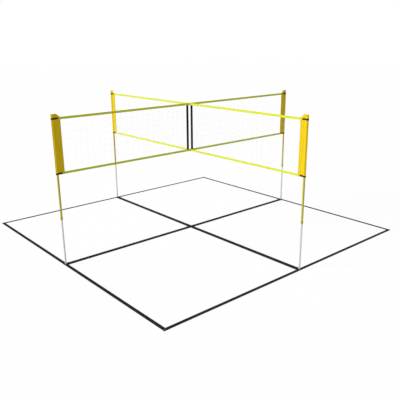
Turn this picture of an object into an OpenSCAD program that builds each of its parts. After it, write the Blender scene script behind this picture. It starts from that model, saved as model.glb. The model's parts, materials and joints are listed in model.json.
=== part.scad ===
// Four-way volleyball net on four telescopic poles, with the webbing that marks its court.
// Millimetres. The origin is on the ground at the middle of the court, +Z is up.
// The nets lie along X and along Y, so each pole stands on an axis, at a court side's middle.
// Each wing of the set is drawn along +X and turned into place by its number:
// 0 right (+X), 1 back (+Y), 2 left (-X), 3 front (-Y).

/* [Court] */
// Side of the square court, between the middles of the boundary webbing
court_side = 5000; // [4000:10:6000]
// Width of the boundary webbing
line_w = 55; // [40:1:70]
// Width of the webbing that crosses the court
cross_w = 84; // [50:1:100]
// Thickness of the court webbing
line_t = 2; // [1.5:0.1:4]
// Thickness of the sewn patches
patch_t = 2; // [1.5:0.1:4]
// Length that a pole patch reaches onto the cross webbing
patch_reach = 60; // [30:1:120]

/* [Eyelets] */
// Bore of an eyelet
eyelet_bore = 12; // [8:0.5:16]
// Wall of an eyelet's barrel
eyelet_wall = 1.5; // [1:0.1:2]
// Width of an eyelet's rim beyond its barrel
eyelet_rim = 4; // [2:0.5:6]
// Thickness of an eyelet's rim
eyelet_rim_t = 1.2; // [0.8:0.1:2]

/* [Net] */
// Height of the net's top edge above the ground
net_height = 2240; // [2150:5:2300]
// Depth of the net, from top edge to bottom edge
net_depth = 830; // [700:5:950]
// Height of a band
band_h = 34; // [30:1:60]
// Thickness of a band, folded over the net's edge
band_t = 4; // [3:0.5:6]
// Thickness of the net's cord
cord_t = 2; // [1.5:0.1:3]
// Width that the net's squares come close to
square_w = 152; // [145:1:200]
// Distance from the crossing to a centre tape's inner edge
tape_inset = 29; // [20:1:60]
// Width of a centre tape
tape_w = 40; // [30:1:60]
// Thickness of a centre tape
tape_t = 3; // [2.5:0.1:5]

/* [Poles] */
// Outer diameter of an upper tube
upper_od = 32; // [30:0.5:40]
// Wall of an upper tube
upper_wall = 1.5; // [1:0.1:2]
// Outer diameter of a lower tube
lower_od = 26; // [22:0.5:27]
// Wall of a lower tube
lower_wall = 1.5; // [1:0.1:2]
// Length of a lower tube
lower_len = 1160; // [1100:5:1170]
// Length of the upper tube below the joint
middle_len = 772; // [740:1:800]
// Length of the upper tube above the joint
top_len = 740; // [710:1:780]
// Length of the spigot in the joint
spigot_len = 140; // [100:1:150]
// Wall of the spigot
spigot_wall = 2; // [1.5:0.1:3]
// Height of a cap's head
cap_h = 6; // [4:0.5:10]
// Length of a cap's plug
cap_plug = 20; // [10:1:40]

/* [Feet and bushes] */
// Diameter of a foot's disc
foot_d = 32; // [30:0.5:44]
// Height of a foot's disc
foot_h = 10; // [6:0.5:20]
// Length of a foot's plug in the tube
foot_plug = 40; // [20:1:80]
// Height of the guide bush's head
bush_h = 15; // [10:1:25]
// Length of the guide bush's plug
bush_plug = 25; // [15:1:40]

/* [Twist lock] */
// Outer diameter of the collar
collar_d = 36; // [35:0.5:44]
// Height of the collar
collar_h = 44; // [36:1:60]
// Height of the collar's inner lip
lip_h = 5; // [3:0.5:8]
// Number of grip flutes
flutes = 10; // [6:1:16]
// Depth of a grip flute
flute_depth = 0.8; // [0.4:0.1:1]
// Plain height left above and below the flutes
flute_margin = 5; // [3:1:10]
// Wall of the slotted collet
collet_wall = 1.7; // [1.2:0.1:2]
// Thickness of the socket's flange
flange_t = 4; // [2:0.5:8]
// Length of the socket inside the upper tube
socket_plug = 30; // [20:1:40]
// Width of a slot in the collet
collet_slot = 1.6; // [1:0.1:3]

/* [Sleeve] */
// Distance from the pole's middle to the sleeve's outer hem
hem_out = 24; // [21:1:40]
// Distance from the pole's middle to the sleeve's net edge
panel_in = 114; // [102:1:150]
// Thickness of the sleeve's panel
panel_t = 4; // [3:0.5:8]
// Thickness of the cloth around the pole
cloth_t = 1.2; // [1:0.1:2]
// Cloth over the pole's top
roof_t = 3; // [2:0.5:5]
// Height of the sleeve's tip above the net's top edge
tip_rise = 50; // [40:1:80]
// Length of the sleeve's flat top
tip_flat = 80; // [60:1:95]
// Height of a strap
strap_h = 22; // [16:1:30]
// Thickness of a strap
strap_t = 1.5; // [1:0.1:2.5]
// Distance from the pole's middle to the slot that a strap passes
strap_in = 80; // [70:1:98]
// Width and height of a strap's glide
glide_w = 30; // [24:1:40]
// Thickness of a glide
glide_t = 3; // [2:0.5:4]

/* [Clearances] */
// Gap between pieces that slide, turn or wrap each other
gap = 0.3; // [0.3:0.05:0.4]
// Radial gap of a plug pressed in a tube
plug_gap = 0.1; // [0.05:0.05:0.2]

/* [Hidden] */
$fn = 40;
wings = [0, 1, 2, 3];
turns = [0, 90, 180, 270];
// The glides lie on the side of each sleeve that faces away from the court's front left
glide_sides = [1, -1, -1, 1];
reach = court_side / 2;
seam_z = line_t + patch_t;

eyelet_top = seam_z + eyelet_rim_t;
barrel_r = eyelet_bore / 2 + eyelet_wall;
punch_r = barrel_r + gap;

foot_top = eyelet_top + foot_h;
lower_top = foot_top + lower_len;
bush_top = lower_top + bush_h;
lower_r = lower_od / 2;
lower_bore_r = lower_r - lower_wall;
upper_r = upper_od / 2;
upper_bore_r = upper_r - upper_wall;

tip_z = net_height + tip_rise;
cap_top = tip_z - roof_t - gap;
tube_top = cap_top - cap_h;
joint_z = tube_top - top_len;
middle_z = joint_z - middle_len;
collar_top = middle_z - flange_t - gap;
collar_z = collar_top - collar_h;
collet_r = lower_r + gap + collet_wall;
collet_z = collar_z + lip_h + collet_wall;
flute_r = 3;

top_band_z = net_height - band_h;
bottom_band_z = net_height - net_depth;
mesh_z = bottom_band_z + band_h;
mesh_h = top_band_z - mesh_z;
mesh_x = tape_inset + tape_w;
panel_x = reach - panel_in;
mesh_w = panel_x - mesh_x;
columns = floor((mesh_w + cord_t) / square_w);
rows = floor((mesh_h + cord_t) / square_w) + 1;
square_x = (mesh_w - cord_t) / columns;
square_z = (mesh_h - cord_t) / rows;

sleeve_h = tip_z - bottom_band_z;
pocket_r = upper_r + gap;
sleeve_r = pocket_r + cloth_t;
band_zs = [top_band_z, bottom_band_z];
strap_lift = (band_h - strap_h) / 2;

echo(gaps_in_the_four_nets = 4 * rows * columns);

// Turns what is drawn along +X to wing i
module wing(i) {
    rotate([0, 0, turns[i]]) children();
}

// Moves what is drawn around the Z axis to the pole of wing i
module at_pole(i) {
    wing(i) translate([reach, 0, 0]) children();
}

// A round tube with its lower end at z
module tube(outer_r, bore_r, z, length) {
    translate([0, 0, z]) linear_extrude(length) difference() {
        circle(outer_r);
        circle(bore_r);
    }
}

// A hole punched through webbing for an eyelet's barrel
module punch() {
    translate([0, 0, -1]) cylinder(h = seam_z + 2, r = punch_r);
}

// ---- Court ----

// A boundary line across wing i; the long ones also fill the corners
module court_line(i) {
    is_long = i % 2 == 0;
    length = is_long ? court_side + line_w : court_side - line_w;
    color([0.14, 0.14, 0.14]) wing(i) difference() {
        translate([reach - line_w / 2, -length / 2, 0]) cube([line_w, length, line_t]);
        translate([reach, 0, 0]) punch();
        if (is_long) for (s = [-1, 1]) translate([reach, s * reach, 0]) punch();
    }
}

// The webbing under one whole net, in one length
module cross_line_long() {
    length = court_side - line_w;
    color([0.13, 0.13, 0.13]) translate([-cross_w / 2, -length / 2, 0]) cube([cross_w, length, line_t]);
}

// The webbing under one wing of the other net
module cross_line_half(i) {
    length = reach - line_w / 2 - cross_w / 2;
    color([0.13, 0.13, 0.13]) wing(i)
        translate([cross_w / 2, -cross_w / 2, 0]) cube([length, cross_w, line_t]);
}

// Sewn over the crossing of the court's webbing
module centre_patch() {
    color([0.12, 0.12, 0.12]) translate([-cross_w, -cross_w / 2, line_t])
        cube([2 * cross_w, cross_w, patch_t]);
}

module corner_patches() {
    color([0.12, 0.12, 0.12]) for (i = wings) wing(i) difference() {
        translate([reach - line_w / 2, reach - line_w / 2, line_t]) cube([line_w, line_w, patch_t]);
        translate([reach, reach, 0]) punch();
    }
}

module pole_patches() {
    color([0.12, 0.12, 0.12]) for (i = wings) at_pole(i) difference() {
        translate([-line_w / 2 - patch_reach, -cross_w / 2, line_t])
            cube([line_w + patch_reach, cross_w, patch_t]);
        punch();
    }
}

// An eyelet's barrel stands in the webbing and its rim lies on the patch
module eyelet() {
    rotate_extrude() polygon([
        [eyelet_bore / 2, gap],
        [barrel_r, gap],
        [barrel_r, seam_z],
        [barrel_r + eyelet_rim, seam_z],
        [barrel_r + eyelet_rim, seam_z + eyelet_rim_t / 2],
        [barrel_r + eyelet_rim / 2, eyelet_top],
        [eyelet_bore / 2, eyelet_top]
    ]);
}

module corner_eyelets() {
    color([0.3, 0.3, 0.3]) for (i = wings) wing(i) translate([reach, reach, 0]) eyelet();
}

module pole_eyelets() {
    color([0.3, 0.3, 0.3]) for (i = wings) at_pole(i) eyelet();
}

// ---- Lower poles ----

// A stub that stands in the pole's eyelet, a disc on it, and a plug in the tube
module foot() {
    stub_r = eyelet_bore / 2 - gap;
    plug_r = lower_bore_r - plug_gap;
    rotate_extrude() polygon([
        [0, gap],
        [stub_r - 1, gap],
        [stub_r, gap + 1],
        [stub_r, eyelet_top],
        [foot_d / 2, eyelet_top],
        [foot_d / 2, foot_top - 2],
        [foot_d / 2 - 2, foot_top],
        [plug_r, foot_top],
        [plug_r, foot_top + foot_plug - 2],
        [plug_r - 2, foot_top + foot_plug],
        [0, foot_top + foot_plug]
    ]);
}

module feet() {
    color([0.45, 0.45, 0.46]) for (i = wings) at_pole(i) foot();
}

module lower_tube(i) {
    color([0.78, 0.78, 0.79]) at_pole(i) tube(lower_r, lower_bore_r, foot_top, lower_len);
}

// The bush closes the lower tube and guides it inside the upper tube
module guide_bush() {
    head_r = upper_bore_r - gap;
    plug_r = lower_bore_r - plug_gap;
    rotate_extrude() polygon([
        [0, lower_top - bush_plug],
        [plug_r - 1, lower_top - bush_plug],
        [plug_r, lower_top - bush_plug + 1],
        [plug_r, lower_top],
        [head_r - 1, lower_top],
        [head_r, lower_top + 1],
        [head_r, bush_top - 2],
        [head_r - 2, bush_top],
        [0, bush_top]
    ]);
}

module guide_bushes() {
    color([0.2, 0.2, 0.2]) for (i = wings) at_pole(i) guide_bush();
}

// ---- Upper poles ----

// The socket is pressed into the upper tube; its slotted collet grips the lower tube
module lock_socket() {
    bore_r = lower_r + gap;
    slot_h = middle_z - flange_t - collet_z - 4;
    difference() {
        rotate_extrude() polygon([
            [bore_r, collet_z],
            [collet_r - 0.7, collet_z],
            [collet_r, collet_z + 2],
            [collet_r, middle_z - flange_t],
            [upper_r, middle_z - flange_t],
            [upper_r, middle_z],
            [upper_bore_r - plug_gap, middle_z],
            [upper_bore_r - plug_gap, middle_z + socket_plug],
            [bore_r, middle_z + socket_plug]
        ]);
        for (a = [0, 90])
            rotate([0, 0, a]) translate([-upper_r, -collet_slot / 2, collet_z - 1])
                cube([upper_od, collet_slot, slot_h + 1]);
    }
}

module lock_sockets() {
    color([0.2, 0.2, 0.2]) for (i = wings) at_pole(i) lock_socket();
}

// The collar turns around the collet and squeezes it
module lock_collar(i) {
    collar_r = collar_d / 2;
    nut_r = collet_r + gap;
    flute_h = collar_h - 2 * flute_margin;
    color([0.8, 0.74, 0.12]) at_pole(i) difference() {
        rotate_extrude() polygon([
            [lower_r + gap + 0.1, collar_z],
            [collar_r - 1.5, collar_z],
            [collar_r, collar_z + 1.5],
            [collar_r, collar_top - 1.5],
            [collar_r - 1.5, collar_top],
            [nut_r, collar_top],
            [nut_r, collar_z + lip_h],
            [lower_r + gap + 0.1, collar_z + lip_h]
        ]);
        for (k = [0:flutes - 1])
            rotate([0, 0, k * 360 / flutes])
                translate([collar_r + flute_r - flute_depth, 0, collar_z + flute_margin])
                    cylinder(h = flute_h, r = flute_r, $fn = 16);
    }
}

module middle_tube(i) {
    color([0.86, 0.8, 0.12]) at_pole(i) tube(upper_r, upper_bore_r, middle_z, middle_len);
}

module top_tube(i) {
    color([0.86, 0.8, 0.12]) at_pole(i) tube(upper_r, upper_bore_r, joint_z, top_len);
}

module spigots() {
    spigot_r = upper_bore_r - plug_gap;
    color([0.7, 0.7, 0.72]) for (i = wings) at_pole(i)
        tube(spigot_r, spigot_r - spigot_wall, joint_z - spigot_len / 2, spigot_len);
}

module tube_cap() {
    plug_r = upper_bore_r - plug_gap;
    rotate_extrude() polygon([
        [0, tube_top - cap_plug],
        [plug_r - 1, tube_top - cap_plug],
        [plug_r, tube_top - cap_plug + 1],
        [plug_r, tube_top],
        [upper_r, tube_top],
        [upper_r, cap_top - 3],
        [upper_r - 3, cap_top],
        [0, cap_top]
    ]);
}

module tube_caps() {
    color([0.2, 0.2, 0.2]) for (i = wings) at_pole(i) tube_cap();
}

// ---- Sleeves and straps ----

// Outline of a sleeve seen from above, grown by extra; the pole is at the origin
module sleeve_outline(extra, inner_x) {
    union() {
        circle(sleeve_r + extra);
        translate([-inner_x, -panel_t / 2 - extra]) square([inner_x + hem_out + extra, panel_t + 2 * extra]);
    }
}

// A flat pocket of cloth around the pole, with a slanted top corner and a slot for each strap
module sleeve(i) {
    slant_w = panel_in + hem_out - tip_flat;
    slot_w = strap_t + 2 * gap;
    slot_h = strap_h + 2 * gap;
    color([0.93, 0.84, 0.1]) at_pole(i) difference() {
        translate([0, 0, bottom_band_z]) linear_extrude(sleeve_h) sleeve_outline(0, panel_in);
        translate([0, 0, bottom_band_z - 1]) cylinder(h = sleeve_h - roof_t + 1, r = pocket_r);
        translate([-panel_in, panel_t, net_height]) rotate([90, 0, 0])
            linear_extrude(2 * panel_t) polygon([[-1, 0], [0, 0], [slant_w, tip_rise], [slant_w, tip_rise + 1],
                [-1, tip_rise + 1]]);
        for (z = band_zs)
            translate([-strap_in - gap, -panel_t, z + strap_lift - gap]) cube([slot_w, 2 * panel_t, slot_h]);
    }
}

// Two straps loop around the pole's pocket and pass through the sleeve's slots
module straps(i) {
    color([0.1, 0.1, 0.1]) at_pole(i) for (z = band_zs)
        translate([0, 0, z + strap_lift]) linear_extrude(strap_h) difference() {
            sleeve_outline(gap + strap_t, strap_in);
            sleeve_outline(gap, strap_in - strap_t);
        }
}

// A flat two-slot glide on each strap
module strap_glide() {
    slot_h = strap_h + 2 * gap;
    slot_w = glide_w / 5;
    difference() {
        cube([glide_w, glide_t, glide_w]);
        for (x = [slot_w, 3 * slot_w])
            translate([x, -1, (glide_w - slot_h) / 2]) cube([slot_w, glide_t + 2, slot_h]);
    }
}

module strap_glides() {
    glide_x = -(strap_in + sleeve_r) / 2 - glide_w / 2;
    glide_y = panel_t / 2 + 2 * gap + strap_t;
    color([0.1, 0.1, 0.1]) for (i = wings) at_pole(i) for (z = band_zs)
        mirror([0, glide_sides[i] < 0 ? 1 : 0, 0])
            translate([glide_x, glide_y, z + (band_h - glide_w) / 2]) strap_glide();
}

// ---- Nets ----

// A band along one edge of a wing, from the crosspiece to the sleeve
module band(i, z) {
    color([0.88, 0.92, 0.2]) wing(i)
        translate([tape_inset, -band_t / 2, z]) cube([panel_x - tape_inset, band_t, band_h]);
}

// Square mesh of one wing
module net(i) {
    color([0.95, 0.95, 0.95]) wing(i) translate([mesh_x, cord_t / 2, mesh_z]) rotate([90, 0, 0])
        linear_extrude(cord_t) difference() {
            square([mesh_w, mesh_h]);
            for (c = [0:columns - 1], r = [0:rows - 1])
                translate([cord_t + c * square_x, cord_t + r * square_z])
                    square([square_x - cord_t, square_z - cord_t]);
        }
}

module centre_tapes() {
    color([0.12, 0.12, 0.12]) for (i = wings) wing(i)
        translate([tape_inset, -tape_t / 2, mesh_z]) cube([tape_w, tape_t, mesh_h]);
}

// Joins the four wings' bands in the middle
module crosspiece(z) {
    color([0.88, 0.92, 0.2]) translate([0, 0, z]) linear_extrude(band_h) union() {
        square([2 * tape_inset, band_t], center = true);
        square([band_t, 2 * tape_inset], center = true);
    }
}

court_line(0);  // court_line_right
court_line(1);  // court_line_back
court_line(2);  // court_line_left
court_line(3);  // court_line_front
cross_line_long();
cross_line_half(0);  // cross_line_right
cross_line_half(2);  // cross_line_left
centre_patch();
corner_patches();
pole_patches();
corner_eyelets();
pole_eyelets();
feet();
lower_tube(0);  // lower_tube_right
lower_tube(1);  // lower_tube_back
lower_tube(2);  // lower_tube_left
lower_tube(3);  // lower_tube_front
guide_bushes();
lock_sockets();
lock_collar(0);  // lock_collar_right
lock_collar(1);  // lock_collar_back
lock_collar(2);  // lock_collar_left
lock_collar(3);  // lock_collar_front
middle_tube(0);  // middle_tube_right
middle_tube(1);  // middle_tube_back
middle_tube(2);  // middle_tube_left
middle_tube(3);  // middle_tube_front
top_tube(0);  // top_tube_right
top_tube(1);  // top_tube_back
top_tube(2);  // top_tube_left
top_tube(3);  // top_tube_front
spigots();
tube_caps();
sleeve(0);  // sleeve_right
sleeve(1);  // sleeve_back
sleeve(2);  // sleeve_left
sleeve(3);  // sleeve_front
straps(0);  // straps_right
straps(1);  // straps_back
straps(2);  // straps_left
straps(3);  // straps_front
strap_glides();
band(0, top_band_z);  // top_band_right
band(1, top_band_z);  // top_band_back
band(2, top_band_z);  // top_band_left
band(3, top_band_z);  // top_band_front
band(0, bottom_band_z);  // bottom_band_right
band(1, bottom_band_z);  // bottom_band_back
band(2, bottom_band_z);  // bottom_band_left
band(3, bottom_band_z);  // bottom_band_front
net(0);  // net_right
net(1);  // net_back
net(2);  // net_left
net(3);  // net_front
centre_tapes();
crosspiece(top_band_z);  // top_crosspiece
crosspiece(bottom_band_z);  // bottom_crosspiece
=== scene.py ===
"""A four-way volleyball net over a court of webbing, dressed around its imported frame.

Each sub-assembly is a class whose fields are its sizes in metres. The wings of the set are drawn
along +X and turned into place; the nets lie along X and Y, and the origin is on the ground under
their crossing.
"""

import json
import logging
import math
from dataclasses import dataclass
from enum import Enum
from typing import Iterable, Optional, Sequence

import bmesh
import bpy
from mathutils import Matrix, Vector, noise


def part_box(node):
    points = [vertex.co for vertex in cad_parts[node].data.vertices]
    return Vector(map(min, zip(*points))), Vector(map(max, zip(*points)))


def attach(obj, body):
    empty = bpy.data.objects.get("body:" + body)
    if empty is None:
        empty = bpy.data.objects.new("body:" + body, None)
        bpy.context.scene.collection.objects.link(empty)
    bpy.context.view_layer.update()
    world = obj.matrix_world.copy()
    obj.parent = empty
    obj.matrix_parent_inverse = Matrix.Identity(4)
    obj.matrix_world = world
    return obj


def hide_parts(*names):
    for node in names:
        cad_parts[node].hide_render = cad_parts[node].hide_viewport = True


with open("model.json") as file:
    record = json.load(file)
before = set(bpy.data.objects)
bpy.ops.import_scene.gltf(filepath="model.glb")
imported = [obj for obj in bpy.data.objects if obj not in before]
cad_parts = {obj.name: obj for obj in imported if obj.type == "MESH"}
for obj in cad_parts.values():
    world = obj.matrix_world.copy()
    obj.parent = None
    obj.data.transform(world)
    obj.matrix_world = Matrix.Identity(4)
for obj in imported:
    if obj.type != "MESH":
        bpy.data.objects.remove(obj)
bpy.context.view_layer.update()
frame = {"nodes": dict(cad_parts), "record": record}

LOG = logging.getLogger("volleyball_net")
UV_NAME = "weave"
MM = 0.001
EYELET_RIM = 3.7 * MM
STRAP_FIT = 0.3 * MM
HOLE_SIDES = 32
HOLE_DEPTH = 50 * MM
SEAM_END = 4 * MM
LINES_APART = 7.31
BUMP_STRENGTH = 0.7
EVEN = (1.0, 1.0, 1.0)
STILL = Matrix.Identity(4)
SIDES = (-1, 1)
QUARTER_TURN = math.pi / 2
HALF_TURN = math.pi
BASE_BODY = "base"
NET_BODY = "net_frame"

Colour = tuple[float, float, float]
Flat = tuple[float, float]
Ring = list[Vector]
Piece = bpy.types.Object
Node = bpy.types.Node
Socket = bpy.types.NodeSocket
Material = bpy.types.Material


class Wing(Enum):
    """The four wings of the set, each with its turn about the vertical in degrees."""

    RIGHT = 0
    BACK = 90
    LEFT = 180
    FRONT = 270

    @property
    def label(self) -> str:
        """The wing's name as node names hold it."""
        return self.name.lower()

    @property
    def matrix(self) -> Matrix:
        """The turn that takes what is drawn along +X to this wing."""
        return Matrix.Rotation(math.radians(self.value), 4, "Z")

    @property
    def quarters(self) -> float:
        """The turn in quarters of a circle."""
        return self.value / 90

    @property
    def court_line(self) -> str:
        """Name of the court's side line at this wing's pole."""
        return f"court_line_{self.label}"

    @property
    def cross_line(self) -> str:
        """Name of the cross line that ends at this wing's pole."""
        return f"cross_line_{self.label}" if self in (Wing.RIGHT, Wing.LEFT) else "cross_line_long"


class Edge(Enum):
    """The edge of a net that a band is folded over."""

    TOP = "top"
    BOTTOM = "bottom"


# ---------------------------------------------------------------- sizes from the frame


@dataclass(frozen=True)
class SetSizes:
    """Sizes of the set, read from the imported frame, in metres."""

    reach: float
    line_w: float
    line_t: float
    cross_w: float
    seam_z: float
    punch_r: float
    tube_r: float
    hem_x: float
    panel_x: float
    tip_flat: float
    tip_z: float
    slant_z: float
    band_h: float
    bottom_z: float
    tape_x: float
    mesh_x: float
    strap_h: float
    strap_t: float
    strap_x: float
    strap_zs: tuple[float, float]

    @classmethod
    def from_frame(cls) -> "SetSizes":
        """Measures the nodes of the right wing, which lies along +X.

        Returns:
            The sizes of the set.
        """
        line_low, line_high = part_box("court_line_right")
        cross_low, cross_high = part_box("cross_line_right")
        tube_low, tube_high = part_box("top_tube_right")
        sleeve_low, sleeve_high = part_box("sleeve_right")
        corners = (v.co for v in frame["nodes"]["sleeve_right"].data.vertices)
        tip_start = min(p.x for p in corners if p.z > sleeve_high.z - MM)
        band_low, band_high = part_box("top_band_right")
        strap_low, strap_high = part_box("straps_right")
        reach = (tube_low.x + tube_high.x) / 2
        band_h = band_high.z - band_low.z
        bottom_z = sleeve_low.z
        return cls(
            reach=reach,
            line_w=line_high.x - line_low.x,
            line_t=line_high.z,
            cross_w=cross_high.y - cross_low.y,
            seam_z=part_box("centre_patch")[1].z,
            punch_r=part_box("corner_eyelets")[1].x - reach - EYELET_RIM,
            tube_r=(tube_high.x - tube_low.x) / 2,
            hem_x=sleeve_high.x,
            panel_x=sleeve_low.x,
            tip_flat=sleeve_high.x - tip_start,
            tip_z=sleeve_high.z,
            slant_z=band_high.z,
            band_h=band_h,
            bottom_z=bottom_z,
            tape_x=band_low.x,
            mesh_x=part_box("net_right")[0].x,
            strap_h=band_h - 2 * (strap_low.z - bottom_z),
            strap_t=strap_high.x - sleeve_high.x - STRAP_FIT,
            strap_x=strap_low.x,
            strap_zs=(bottom_z + band_h / 2, band_low.z + band_h / 2),
        )


# ---------------------------------------------------------------- mesh tools


class Sketch:
    """Collects points, faces and a UV map in metres, and makes one mesh of them."""

    def __init__(self) -> None:
        """Starts with nothing drawn."""
        self.points: list[Vector] = []
        self.faces: list[tuple[int, ...]] = []
        self.uvs: list[tuple[Flat, ...]] = []

    def add_face(self, corners: Sequence[int], uvs: Sequence[Flat]) -> None:
        """Adds a face between points of these numbers, with one UV place for each corner."""
        self.faces.append(tuple(corners))
        self.uvs.append(tuple(uvs))

    def sweep(
        self, rings: Sequence[Ring], stations: Sequence[float], path_closed: bool = False,
        capped: bool = True,
    ) -> None:
        """Joins closed rings of equal length into a skin.

        Args:
            rings: The cross-sections, in order along the path.
            stations: Length along the path at each ring, with one more at the end of a closed path.
            path_closed: Whether the last ring meets the first.
            capped: Whether the two ends of an open path get a face.
        """
        start, count = len(self.points), len(rings[0])
        for ring in rings:
            self.points.extend(ring)
        across = [0.0]
        for a, b in zip(rings[0], [*rings[0][1:], rings[0][0]]):
            across.append(across[-1] + (b - a).length)
        for k in range(len(rings) if path_closed else len(rings) - 1):
            after = (k + 1) % len(rings)
            for j in range(count):
                beside = (j + 1) % count
                corners = (
                    start + k * count + j,
                    start + k * count + beside,
                    start + after * count + beside,
                    start + after * count + j,
                )
                u0, u1, v0, v1 = across[j], across[j + 1], stations[k], stations[k + 1]
                self.add_face(corners, ((u0, v0), (u1, v0), (u1, v1), (u0, v1)))
        if capped and not path_closed:
            for k in (0, len(rings) - 1):
                corners = [start + k * count + j for j in range(count)]
                self.add_face(corners, [(across[j], stations[k]) for j in range(count)])

    def to_object(self, name: str, place: Matrix, smooth_deg: float) -> Piece:
        """Makes an object whose place is in its mesh.

        Args:
            name: Name of the piece.
            place: Where the drawing goes in the row frame.
            smooth_deg: Edges sharper than this stay sharp.

        Returns:
            The new object, linked to the scene.
        """
        mesh = bpy.data.meshes.new(name)
        mesh.from_pydata([place @ p for p in self.points], [], self.faces)
        layer = mesh.uv_layers.new(name=UV_NAME)
        layer.data.foreach_set("uv", [xy for face in self.uvs for uv in face for xy in uv])
        work = bmesh.new()
        work.from_mesh(mesh)
        bmesh.ops.recalc_face_normals(work, faces=work.faces)
        work.to_mesh(mesh)
        work.free()
        mesh.shade_smooth()
        mesh.set_sharp_from_angle(angle=math.radians(smooth_deg))
        return link(bpy.data.objects.new(name, mesh))


def swept(
    name: str, rings: Sequence[Ring], stations: Sequence[float], place: Matrix = STILL,
    smooth_deg: float = 50.0, path_closed: bool = False,
) -> Piece:
    """Makes a piece of rings that are joined into a closed skin.

    Args:
        name: Name of the piece.
        rings: The cross-sections, in order along the path.
        stations: Length along the path at each ring, with one more at the end of a closed path.
        place: Where the drawing goes in the row frame.
        smooth_deg: Edges sharper than this stay sharp.
        path_closed: Whether the last ring meets the first.

    Returns:
        The piece.
    """
    sketch = Sketch()
    sketch.sweep(rings, stations, path_closed)
    return sketch.to_object(name, place, smooth_deg)


def link(obj: Piece) -> Piece:
    """Links an object to the scene and returns it."""
    bpy.context.scene.collection.objects.link(obj)
    return obj


def bake_modifiers(obj: Piece) -> None:
    """Turns an object and its modifiers into a plain mesh.

    Args:
        obj: The object whose modifiers are to be applied.
    """
    graph = bpy.context.evaluated_depsgraph_get()
    mesh = bpy.data.meshes.new_from_object(obj.evaluated_get(graph))
    obj.modifiers.clear()
    old, obj.data = obj.data, mesh
    mesh.name = obj.name
    bpy.data.meshes.remove(old)


def punch(obj: Piece, centres: Iterable[Vector], radius: float) -> None:
    """Punches round upright holes through a flat piece.

    Args:
        obj: The piece.
        centres: The holes' middles.
        radius: The holes' radius.
    """
    mesh = bpy.data.meshes.new("punch")
    work = bmesh.new()
    for centre in centres:
        bmesh.ops.create_cone(
            work, cap_ends=True, segments=HOLE_SIDES, radius1=radius, radius2=radius, depth=HOLE_DEPTH,
            matrix=Matrix.Translation(centre),
        )
    work.to_mesh(mesh)
    work.free()
    tool = link(bpy.data.objects.new("punch", mesh))
    cut = obj.modifiers.new("holes", "BOOLEAN")
    cut.operation, cut.solver, cut.object = "DIFFERENCE", "EXACT", tool
    bake_modifiers(obj)
    bpy.data.objects.remove(tool)
    bpy.data.meshes.remove(mesh)


def ripple(s: float, seed: float, scale: float) -> float:
    """Smooth noise at place s of a line that the seed picks, with scale waves per metre."""
    return noise.noise(Vector((s * scale, seed * LINES_APART, 0.5)))


def spread(low: float, high: float, count: int) -> list[float]:
    """Evenly spaced numbers from low to high, count steps apart."""
    return [low + (high - low) * k / count for k in range(count + 1)]


def fade(*shares: float) -> float:
    """The least of some shares, held between 0 and 1."""
    return max(0.0, min(1.0, *shares))


def drawn_in(value: float, by: float) -> float:
    """A coordinate moved toward 0, and no further than 0."""
    return value - math.copysign(min(by, abs(value)), value)


def dress(
    obj: Piece, body: str, material: Material, nodes: Sequence[str] = ()
) -> None:
    """Gives a piece its material, its body and the nodes that it stands for.

    Args:
        obj: The piece.
        body: Name of the body that it rides on.
        material: Its finish.
        nodes: CAD nodes that it replaces.
    """
    obj.data.materials.clear()
    obj.data.materials.append(material)
    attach(obj, body)
    if nodes:
        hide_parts(*nodes)
    LOG.info("%s rides on %s", obj.name, body)


# ---------------------------------------------------------------- node trees and materials


class NodeTree:
    """A node tree that is built step by step."""

    def __init__(self, tree: bpy.types.NodeTree) -> None:
        """Takes the tree that the nodes go into."""
        self.tree = tree

    def link(self, source: object, target: Socket) -> None:
        """Links two sockets, or sets a socket to a plain value.

        Args:
            source: An output, a node whose first output is meant, or a value.
            target: The input.
        """
        if isinstance(source, Node):
            source = source.outputs[0]
        if isinstance(source, Socket):
            self.tree.links.new(source, target)
        else:
            target.default_value = source

    def node(
        self, kind: str, inputs: Optional[dict[str | int, object]] = None, **settings: object
    ) -> Node:
        """Adds a node.

        Args:
            kind: Its bl_idname.
            inputs: What goes into its inputs, by their names or numbers.
            **settings: Attributes to set on it.

        Returns:
            The node.
        """
        made = self.tree.nodes.new(kind)
        for key, value in settings.items():
            setattr(made, key, value)
        for key, value in (inputs or {}).items():
            self.link(value, made.inputs[key])
        return made

    def math(self, operation: str, a: object, b: object = 0.0) -> Socket:
        """Adds a Math node for an operation on two values or sockets, and gives its output."""
        return self.node("ShaderNodeMath", {0: a, 1: b}, operation=operation).outputs[0]

    def mix(self, *parts: tuple[Socket, object]) -> Socket:
        """Adds up values, each times its share.

        Args:
            *parts: Pairs of a value and its share.

        Returns:
            The sum.
        """
        total, *others = [self.math("MULTIPLY", value, share) for value, share in parts]
        for term in others:
            total = self.math("ADD", total, term)
        return total


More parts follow.
